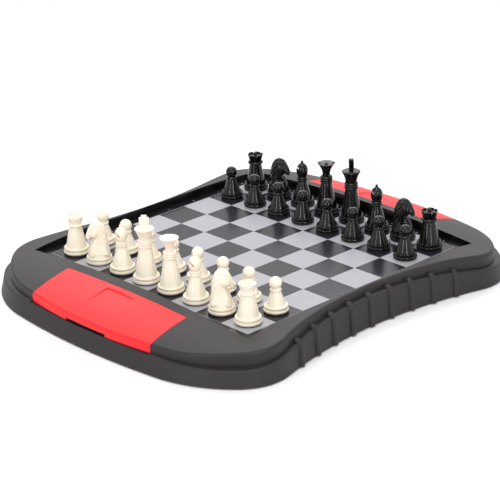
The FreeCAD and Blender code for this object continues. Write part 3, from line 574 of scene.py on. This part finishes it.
# Knights: the four horse heads, moulded in two halves and glued on the same round foot as the other figures.
# Crest, mane, cheek, jaw, eye, mouth and the flutes of the chest were cut into the mould by hand. A swelling
# is its height, its place on the side of the head and its radius; a line is its height, width and points.
KNIGHT_SIDE = (
    (7.4, 5.2), (7.0, 8.4), (6.2, 11.8), (5.0, 15.2), (4.1, 18.2), (4.7, 19.0), (6.0, 18.5), (7.2, 17.6),
    (8.6, 18.2), (9.1, 20.0), (8.7, 22.2), (7.4, 25.4), (5.9, 28.4), (4.0, 30.6), (1.4, 31.7), (-1.6, 31.3),
    (-4.0, 29.0), (-5.5, 25.6), (-6.3, 21.6), (-6.8, 17.2), (-7.4, 12.4), (-8.0, 8.4), (-8.2, 5.2),
)
CHEST_POINTS = 5
CREST_POINT = 13
KNIGHT_THICK = (
    (5.0, 8.0), (7.0, 7.6), (10.5, 6.2), (15.0, 4.9), (21.0, 4.4), (26.0, 4.0), (30.0, 3.2), (33.0, 2.6),
)
KNIGHT_ROUND = 3.4
MUZZLE_TAPER = 0.36
MUZZLE_RUN = (3, 9)
MUZZLE_RISE = (15, 19)
THINNEST = 0.6
CARVE_LOW = (-10.0, -9.0, 4.6)
CARVE_HIGH = (10.6, 9.0, 33.4)
CARVE_CELL = 0.3
MANE_EDGE = (2.6, 3.3)
MANE_FOOT = (9, 12)
MANE_LIFT = 0.3
MANE_PITCH = 2.4
MANE_SLANT = 0.4
FLUTE_EDGE = (2.4, 3.8)
FLUTE_TOP = (16, 18.5)
FLUTE_DEPTH = 0.22
FLUTE_PITCH = 2.6
EAR_PLACE = (0.9, 30.2)
EAR_LEAN = (0.94, 0.34)
EAR_APART = 1.7
EAR_SIZE = (1.1, 0.9, 1.6)
CHEEK = (1.1, 2.8, 23.4, 4.6)
EYE_SOCKET = (-1.1, 4.9, 27.3, 1.7)
EYEBALL = (1.0, 4.9, 27.2, 0.95)
BROW = (0.6, 3.6, 28.9, 1.5)
NOSTRIL = (-0.9, 8.1, 21.4, 0.9)
CARVED_LINES = (
    (-0.5, 0.7, ((-0.6, 25.4), (0.2, 21.6), (2.4, 19.2), (5.4, 19.6))),  # jaw
    (0.6, 0.9, ((4.6, 28.8), (6.8, 25.2), (8.3, 21.8))),  # bridge of the nose
    (-0.8, 0.8, ((5.4, 25.6), (6.6, 23.6), (7.2, 22.0))),  # hollow beside it
    (-0.9, 0.32, ((9.4, 19.9), (7.8, 20.2), (6.4, 21.0))),  # mouth
)
KNIGHT_FOOT = (
    (0, 0), (9.0, 0), (9.0, 0.8), (9.2, 0.8), (9.55, 1.2), (9.7, 1.85), (9.55, 2.5), (9.2, 2.9), (8.8, 2.95),
    (8.8, 3.35), (9.15, 3.7), (9.3, 4.4), (9.15, 5.1), (8.8, 5.4), (8.2, 5.0), (7.6, 7.6), (0, 7.6),
)
KNIGHTS = {
    "white_knight_b": (-2.5, -3.5, 232.0),
    "white_knight_g": (2.5, -3.5, 42.0),
    "black_knight_b": (-2.5, 3.5, 42.0),
    "black_knight_g": (2.5, 3.5, 42.0),
}


def from_line(line, x, z):
    """Distance of places to a line, and how far along it the nearest point is."""
    best = np.full(x.shape, np.inf)
    along = np.zeros(x.shape)
    run = 0.0
    for a, b in zip(line, line[1:]):
        step = b - a
        length = math.hypot(*step)
        t = np.clip(((x - a[0]) * step[0] + (z - a[1]) * step[1]) / length ** 2, 0, 1)
        away = np.hypot(x - a[0] - t * step[0], z - a[1] - t * step[1])
        along = np.where(away < best, run + t * length, along)
        best = np.minimum(best, away)
        run += length
    return best, along


def within(line, x, z):
    """Whether places lie inside a closed line."""
    inside = np.zeros(x.shape, bool)
    for a, b in zip(line, np.roll(line, -1, axis=0)):
        if a[1] != b[1]:
            cross = (b[0] - a[0]) * (z - a[1]) / (b[1] - a[1]) + a[0]
            inside ^= ((a[1] > z) != (b[1] > z)) & (x < cross)
    return inside


def ease(low, high, value):
    """Soft step from 0 at low to 1 at high."""
    t = np.clip((value - low) / (high - low), 0, 1)
    return t * t * (3 - 2 * t)


def skin(field, low, cell):
    """Points and faces of the surface where a sampled field changes sign; it is negative inside."""
    size = [n - 1 for n in field.shape]
    corners = [(i, j, k) for i in (0, 1) for j in (0, 1) for k in (0, 1)]

    def at(c):
        return field[c[0]:c[0] + size[0], c[1]:c[1] + size[1], c[2]:c[2] + size[2]]

    count = sum((at(c) < 0).astype(int) for c in corners)
    mixed = (count > 0) & (count < 8)
    index = np.full(size, -1)
    index[mixed] = np.arange(mixed.sum())
    total = np.zeros((*size, 3))
    hits = np.zeros(size)
    for c in corners:
        for axis in range(3):
            if c[axis] == 0:
                far = tuple(1 if m == axis else c[m] for m in range(3))
                here, there = at(c), at(far)
                cut = (here < 0) != (there < 0)
                part = np.where(cut, here / np.where(cut, here - there, 1), 0)
                for m in range(3):
                    total[..., m] += cut * (c[m] + (part if m == axis else 0))
                hits += cut
    points = (total[mixed] / hits[mixed][:, None] + np.argwhere(mixed)) * cell + np.array(low)
    faces = []
    for axis in range(3):
        side, rise = (axis + 1) % 3, (axis + 2) % 3
        near = field[tuple(slice(None, -1) if m == axis else slice(1, -1) for m in range(3))]
        past = field[tuple(slice(1, None) if m == axis else slice(1, -1) for m in range(3))]
        cut = (near < 0) != (past < 0)
        spots = np.argwhere(cut)
        ring = []
        for u, v in ((0, 0), (1, 0), (1, 1), (0, 1)):
            spot = spots.copy()
            spot[:, side] += u
            spot[:, rise] += v
            ring.append(index[tuple(spot.T)])
        quads = np.stack(ring, -1)
        out = near[cut] < 0
        faces += [tuple(q) for q in quads[out]] + [tuple(q[::-1]) for q in quads[~out]]
    return points, faces


xs, ys, zs = (np.arange(a, b, CARVE_CELL) for a, b in zip(CARVE_LOW, CARVE_HIGH))
X, Z = np.meshgrid(xs, zs, indexing="ij")
outline = smooth_line(KNIGHT_SIDE)
inside = within(outline, X, Z)
edge = from_line(np.vstack([outline, outline[:1]]), X, Z)[0]
depth = np.where(inside, edge, -edge)
back, along = from_line(smooth_line(KNIGHT_SIDE[CREST_POINT:]), X, Z)
chest = from_line(smooth_line(KNIGHT_SIDE[:CHEST_POINTS]), X, Z)[0]


def dome(height, x, z, r):
    """Round swelling, or hollow, of radius r on the side of the head."""
    return height * np.clip(1 - ((X - x) ** 2 + (Z - z) ** 2) / r ** 2, 0, 1)


mane = (1 - ease(*MANE_EDGE, back)) * ease(*MANE_FOOT, Z)
locks = MANE_LIFT * (1 + np.cos(2 * math.pi * (MANE_SLANT * along + back) / MANE_PITCH))
thick = np.interp(Z, *zip(*KNIGHT_THICK))
thick = thick * (1 - MUZZLE_TAPER * ease(*MUZZLE_RUN, X) * ease(*MUZZLE_RISE, Z))
thick = thick + mane * locks + dome(*CHEEK) * (1 - mane)
for height, width, line in CARVED_LINES:
    thick = thick + height * np.exp(-(from_line(np.array(line), X, Z)[0] / width) ** 2)
for swelling in (EYE_SOCKET, EYEBALL, BROW, NOSTRIL):
    thick = thick + dome(*swelling)
thick = np.maximum(thick, THINNEST)
flute = FLUTE_DEPTH * (1 - ease(*FLUTE_EDGE, chest)) * (1 - ease(*FLUTE_TOP, Z))
Y = ys[None, :, None]
head = (Y / thick[:, None, :]) ** 2 + (1 - np.minimum(depth / KNIGHT_ROUND, 1))[:, None, :] ** 2 - 1
head = head + flute[:, None, :] * np.cos(2 * math.pi * Y / FLUTE_PITCH)
ahead, above = X - EAR_PLACE[0], Z - EAR_PLACE[1]
lean = (ahead * EAR_LEAN[0] + above * EAR_LEAN[1])[:, None, :] / EAR_SIZE[0]
rise = (above * EAR_LEAN[0] - ahead * EAR_LEAN[1])[:, None, :] / EAR_SIZE[2]
for sign in (-1, 1):
    ear = lean ** 2 + ((Y - sign * EAR_APART) / EAR_SIZE[1]) ** 2 + rise ** 2 - 1
    head = np.minimum(head, ear)
head = np.maximum(head, (CARVE_LOW[2] + CARVE_CELL - Z)[:, None, :])
head_points, head_faces = skin(head, CARVE_LOW, CARVE_CELL)
horse_points, horse_faces = joined(turned(KNIGHT_FOOT), (head_points, head_faces))
board_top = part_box("playing_board")[1].z
for node, (file, rank, facing) in KNIGHTS.items():
    side = node.split("_")[0]
    turn = np.array(Matrix.Rotation(math.radians(facing), 3, "Z"))
    spot = np.array((file * SQUARE, rank * SQUARE, board_top))
    horse = plain_mesh(node + "_carved", horse_points * MM @ turn.T + spot, horse_faces, SHARP_ANGLE)
    horse.data.materials.append(figure_finishes[side])
    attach(horse, node)
    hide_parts(node)

# Studio: a plain white table that fades into a white background, under a broad softbox behind the object and
# a small one over it, with an upright strip light on either side of the camera.
SHADOW_REACH = 0.35
WHITE_REACH = 0.8
TABLE_HALF = 6.0
FILL_LIGHT = 0.75
LIT_PLACE = Vector((-0.0012, -0.0015, 0.023))


def looked_at(tree):
    """1 for rays that show a surface to the camera, straight or by a mirror or glass, and 0 for light."""
    rays = add(tree, "ShaderNodeLightPath").outputs
    seen = rays["Is Camera Ray"]
    for ray in ("Is Glossy Ray", "Is Transmission Ray"):
        seen = add(tree, "ShaderNodeMath", {"operation": "MAXIMUM"}, {0: seen, 1: rays[ray]}).outputs[0]
    return seen


# Matt white table: it takes the object's shadow, and further out it is as white as the background.
corners = [(x * TABLE_HALF, y * TABLE_HALF, 0) for x, y in ((-1, -1), (1, -1), (1, 1), (-1, 1))]
floor = plain_mesh("studio_floor", corners, [(0, 1, 2, 3)])
white_table, tree, shader, place = start_material("white_table", Roughness=0.9, Specular_IOR_Level=0.0)
shader.inputs["Base Color"].default_value = linear("#fbfbfb")
off = add(tree, "ShaderNodeVectorMath", {"operation": "LENGTH"}, {0: place})
far = add(tree, "ShaderNodeMapRange", {"From Min": SHADOW_REACH, "From Max": WHITE_REACH},
          {"Value": off.outputs["Value"]})
part = add(tree, "ShaderNodeMath", {"operation": "MULTIPLY"}, {0: looked_at(tree), 1: far.outputs["Result"]})
glow = add(tree, "ShaderNodeEmission", {"Color": (1, 1, 1, 1), "Strength": 1.0})
pick = add(tree, "ShaderNodeMixShader", None, {0: part.outputs[0], 1: shader.outputs[0], 2: glow.outputs[0]})
tree.links.new(pick.outputs[0], tree.nodes["Material Output"].inputs["Surface"])
floor.data.materials.append(white_table)

world = bpy.data.worlds.new("white_studio")
bpy.context.scene.world = world
world.use_nodes = True
tree = world.node_tree
tree.nodes.clear()
fill = add(tree, "ShaderNodeBackground", {"Color": (1, 1, 1, 1), "Strength": FILL_LIGHT})
show = add(tree, "ShaderNodeBackground", {"Color": (1, 1, 1, 1), "Strength": 1.0})
pick = add(tree, "ShaderNodeMixShader", None, {0: looked_at(tree), 1: fill.outputs[0], 2: show.outputs[0]})
add(tree, "ShaderNodeOutputWorld", None, {0: pick.outputs[0]})

for name, spot, width, height, power in (
    ("overhead_softbox", (0.35, -0.35, 1.5), 0.5, 0.5, 6.0),
    ("back_softbox", (-1.05, 1.0, 1.45), 2.2, 1.4, 22.0),
    ("left_strip", (0.26, -1.23, 0.42), 0.03, 0.84, 2.9),
    ("right_strip", (1.18, -0.43, 0.42), 0.03, 0.84, 2.9),
):
    lamp = bpy.data.lights.new(name, "AREA")
    lamp.shape = "RECTANGLE"
    lamp.size = width
    lamp.size_y = height
    lamp.energy = power
    stand = bpy.data.objects.new(name, lamp)
    aim = LIT_PLACE - Vector(spot)
    stand.matrix_world = Matrix.Translation(spot) @ aim.to_track_quat("-Z", "Y").to_matrix().to_4x4()
    bpy.context.scene.collection.objects.link(stand)

# Camera: a long lens on the photograph's line of sight, found from the corners of the board, and rolled by
# a degree and a half.
AZIMUTH = math.radians(46.91)
ELEVATION = math.radians(22.21)
ROLL = math.radians(-1.56)
CAMERA_SPOT = Vector((0.9654, -0.9057, 0.5635))
SENSOR_WIDTH = 36.0
FOCAL_LENGTH = 140.87
back = Vector((
    math.sin(AZIMUTH) * math.cos(ELEVATION),
    -math.cos(AZIMUTH) * math.cos(ELEVATION),
    math.sin(ELEVATION),
))
right = (-back).cross(Vector((0, 0, 1))).normalized()
up = right.cross(-back)
right, up = (
    right * math.cos(ROLL) + up * math.sin(ROLL),
    up * math.cos(ROLL) - right * math.sin(ROLL),
)
lens = bpy.data.cameras.new("photo_camera")
lens.sensor_width = SENSOR_WIDTH
lens.lens = FOCAL_LENGTH
camera = bpy.data.objects.new("photo_camera", lens)
turn = Matrix((right, up, back)).transposed()
camera.matrix_world = Matrix.Translation(CAMERA_SPOT) @ turn.to_4x4()
bpy.context.scene.collection.objects.link(camera)
bpy.context.scene.camera = camera
bpy.context.scene.view_settings.view_transform = "Standard"
